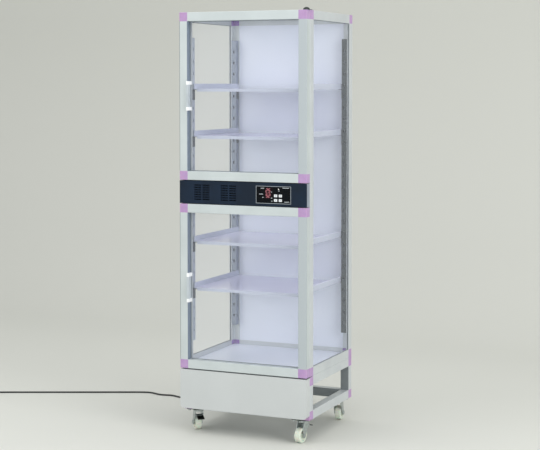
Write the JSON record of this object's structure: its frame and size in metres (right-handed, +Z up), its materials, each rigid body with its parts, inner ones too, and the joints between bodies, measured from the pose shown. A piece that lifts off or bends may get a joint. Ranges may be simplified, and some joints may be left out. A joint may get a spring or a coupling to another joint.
{
  "type": "desiccator cabinet",
  "caption": "Tall dry-storage cabinet on castors: clear sides and clear doors in a metal frame, tinted shelves, a dark control band and a low open base.",
  "frame": {"origin": "on the floor, under the middle of the cabinet's own bounding box (handles in, cord out)", "axes": "+Z up; the doors face -Y; +X is the cabinet's hinge side, to the right of someone who faces the doors"},
  "size_m": [1.4748, 0.5161, 1.4431],
  "materials": {
    "silver_frame": "satin anodised extrusion",
    "mauve_joint": "moulded, pale mauve, fine matt grain",
    "clear_panel": "clear acrylic sheet, polished",
    "white_panel": "pale powder coat, smooth",
    "shelf_lavender": "translucent tinted sheet with folded edges",
    "zinc_steel": "dull zinc plate",
    "navy_fascia": "dark navy, satin",
    "cap_grey": "moulded end block, matt grey",
    "navy_housing": "dark painted sheet steel, matt",
    "grey_unit": "moulded housing, matt",
    "board": "green solder mask",
    "red_digits": "red seven-segment display",
    "smoke_window": "smoked clear plastic",
    "bezel": "thin light grey frame",
    "lamp": "diffused red lens",
    "key": "white moulded key",
    "cover_paint": "light grey paint, satin",
    "black_plastic": "black moulded plastic",
    "dark_steel": "black painted pressing",
    "nylon_wheel": "off-white nylon, matt",
    "seal": "soft grey sealing strip",
    "cord": "black jacket, matt",
    "handle": "white moulded end caps on a dark grip"
  },
  "bodies": {
    "cabinet": {"body_posts": "silver_frame", "body_side_rails": "silver_frame", "body_front_rails": "silver_frame", "body_rear_rails": "silver_frame", "body_corner_joints": "mauve_joint", "left_side_panel": "clear_panel", "right_side_panel": "clear_panel", "back_panel": "white_panel", "top_panel": "white_panel", "floor_tray": "white_panel", "shelf_standards": "zinc_steel", "shelf_brackets": "zinc_steel", "shelf_1": "shelf_lavender", "shelf_2": "shelf_lavender", "shelf_3": "shelf_lavender", "shelf_4": "shelf_lavender", "control_housing": "navy_housing", "control_fascia": "navy_fascia", "control_end_caps": "cap_grey", "dry_unit": "grey_unit", "circuit_board": "board", "display_digits": "red_digits", "display_window": "smoke_window", "display_bezel": "bezel", "indicator_lamp": "lamp", "base_bars": "silver_frame", "base_corner_joints": "mauve_joint", "front_cover": "cover_paint", "castor_plates": "dark_steel", "hinge_brackets": "zinc_steel", "hinge_cap": "mauve_joint", "cord_gland": "black_plastic", "cord_lead": "cord", "cord_coil": "cord", "cord_tail": "cord", "cord_plug": "black_plastic"},
    "upper_door": {"upper_door_bars": "silver_frame", "upper_door_corners": "mauve_joint", "upper_door_pane": "clear_panel", "upper_door_seal": "seal", "upper_door_handle": "handle"},
    "lower_door": {"lower_door_bars": "silver_frame", "lower_door_corners": "mauve_joint", "lower_door_pane": "clear_panel", "lower_door_seal": "seal", "lower_door_handle": "handle"},
    "castor_fl": {"castor_fork_fl": "dark_steel"},
    "wheel_fl": {"castor_wheel_fl": "nylon_wheel"},
    "castor_fr": {"castor_fork_fr": "dark_steel"},
    "wheel_fr": {"castor_wheel_fr": "nylon_wheel"},
    "castor_rl": {"castor_fork_rl": "dark_steel"},
    "wheel_rl": {"castor_wheel_rl": "nylon_wheel"},
    "castor_rr": {"castor_fork_rr": "dark_steel"},
    "wheel_rr": {"castor_wheel_rr": "nylon_wheel"},
    "brake_fl": {"brake_lever_fl": "black_plastic"},
    "brake_fr": {"brake_lever_fr": "black_plastic"},
    "key_up": {"key_up": "key"},
    "key_down": {"key_down": "key"},
    "key_set": {"key_set": "key"},
    "key_mode": {"key_mode": "key"}
  },
  "joints": [
    {"name": "upper_door_hinge", "type": "hinge", "parent": "cabinet", "child": "upper_door", "pos_m": [0.2255, -0.195, 1.15], "axis": [0, 0, 1], "range_deg": [0, 120]},
    {"name": "lower_door_hinge", "type": "hinge", "parent": "cabinet", "child": "lower_door", "pos_m": [0.2255, -0.195, 0.507], "axis": [0, 0, 1], "range_deg": [0, 120]},
    {"name": "castor_fl_swivel", "type": "hinge", "parent": "cabinet", "child": "castor_fl", "pos_m": [-0.1955, -0.1455, 0.07], "axis": [0, 0, 1], "continuous": true},
    {"name": "castor_fl_spin", "type": "hinge", "parent": "castor_fl", "child": "wheel_fl", "pos_m": [-0.20707, -0.13171, 0.025], "axis": [-0.766, -0.6428, 0], "continuous": true},
    {"name": "castor_fr_swivel", "type": "hinge", "parent": "cabinet", "child": "castor_fr", "pos_m": [0.1955, -0.1455, 0.07], "axis": [0, 0, 1], "continuous": true},
    {"name": "castor_fr_spin", "type": "hinge", "parent": "castor_fr", "child": "wheel_fr", "pos_m": [0.19299, -0.16332, 0.025], "axis": [0.9903, -0.1392, 0], "continuous": true},
    {"name": "castor_rl_swivel", "type": "hinge", "parent": "cabinet", "child": "castor_rl", "pos_m": [-0.1955, 0.1795, 0.07], "axis": [0, 0, 1], "continuous": true},
    {"name": "castor_rl_spin", "type": "hinge", "parent": "castor_rl", "child": "wheel_rl", "pos_m": [-0.18934, 0.19641, 0.025], "axis": [-0.9397, 0.342, 0], "continuous": true},
    {"name": "castor_rr_swivel", "type": "hinge", "parent": "cabinet", "child": "castor_rr", "pos_m": [0.1955, 0.1795, 0.07], "axis": [0, 0, 1], "continuous": true},
    {"name": "castor_rr_spin", "type": "hinge", "parent": "castor_rr", "child": "wheel_rr", "pos_m": [0.19362, 0.1974, 0.025], "axis": [-0.9945, -0.1045, 0], "continuous": true},
    {"name": "brake_fl_press", "type": "hinge", "parent": "castor_fl", "child": "brake_fl", "pos_m": [-0.18971, -0.15239, 0.054], "axis": [0.766, 0.6428, 0], "range_deg": [0, 14]},
    {"name": "brake_fr_press", "type": "hinge", "parent": "castor_fr", "child": "brake_fr", "pos_m": [0.19675, -0.13659, 0.054], "axis": [-0.9903, 0.1392, 0], "range_deg": [0, 14]},
    {"name": "key_up_press", "type": "slide", "parent": "cabinet", "child": "key_up", "axis": [0, 1, 0], "range_m": [0, 0.0007], "stiffness_N_per_m": 300, "springref_m": -0.0005},
    {"name": "key_down_press", "type": "slide", "parent": "cabinet", "child": "key_down", "axis": [0, 1, 0], "range_m": [0, 0.0007], "stiffness_N_per_m": 300, "springref_m": -0.0005},
    {"name": "key_set_press", "type": "slide", "parent": "cabinet", "child": "key_set", "axis": [0, 1, 0], "range_m": [0, 0.0007], "stiffness_N_per_m": 300, "springref_m": -0.0005},
    {"name": "key_mode_press", "type": "slide", "parent": "cabinet", "child": "key_mode", "axis": [0, 1, 0], "range_m": [0, 0.0007], "stiffness_N_per_m": 300, "springref_m": -0.0005}
  ]
}
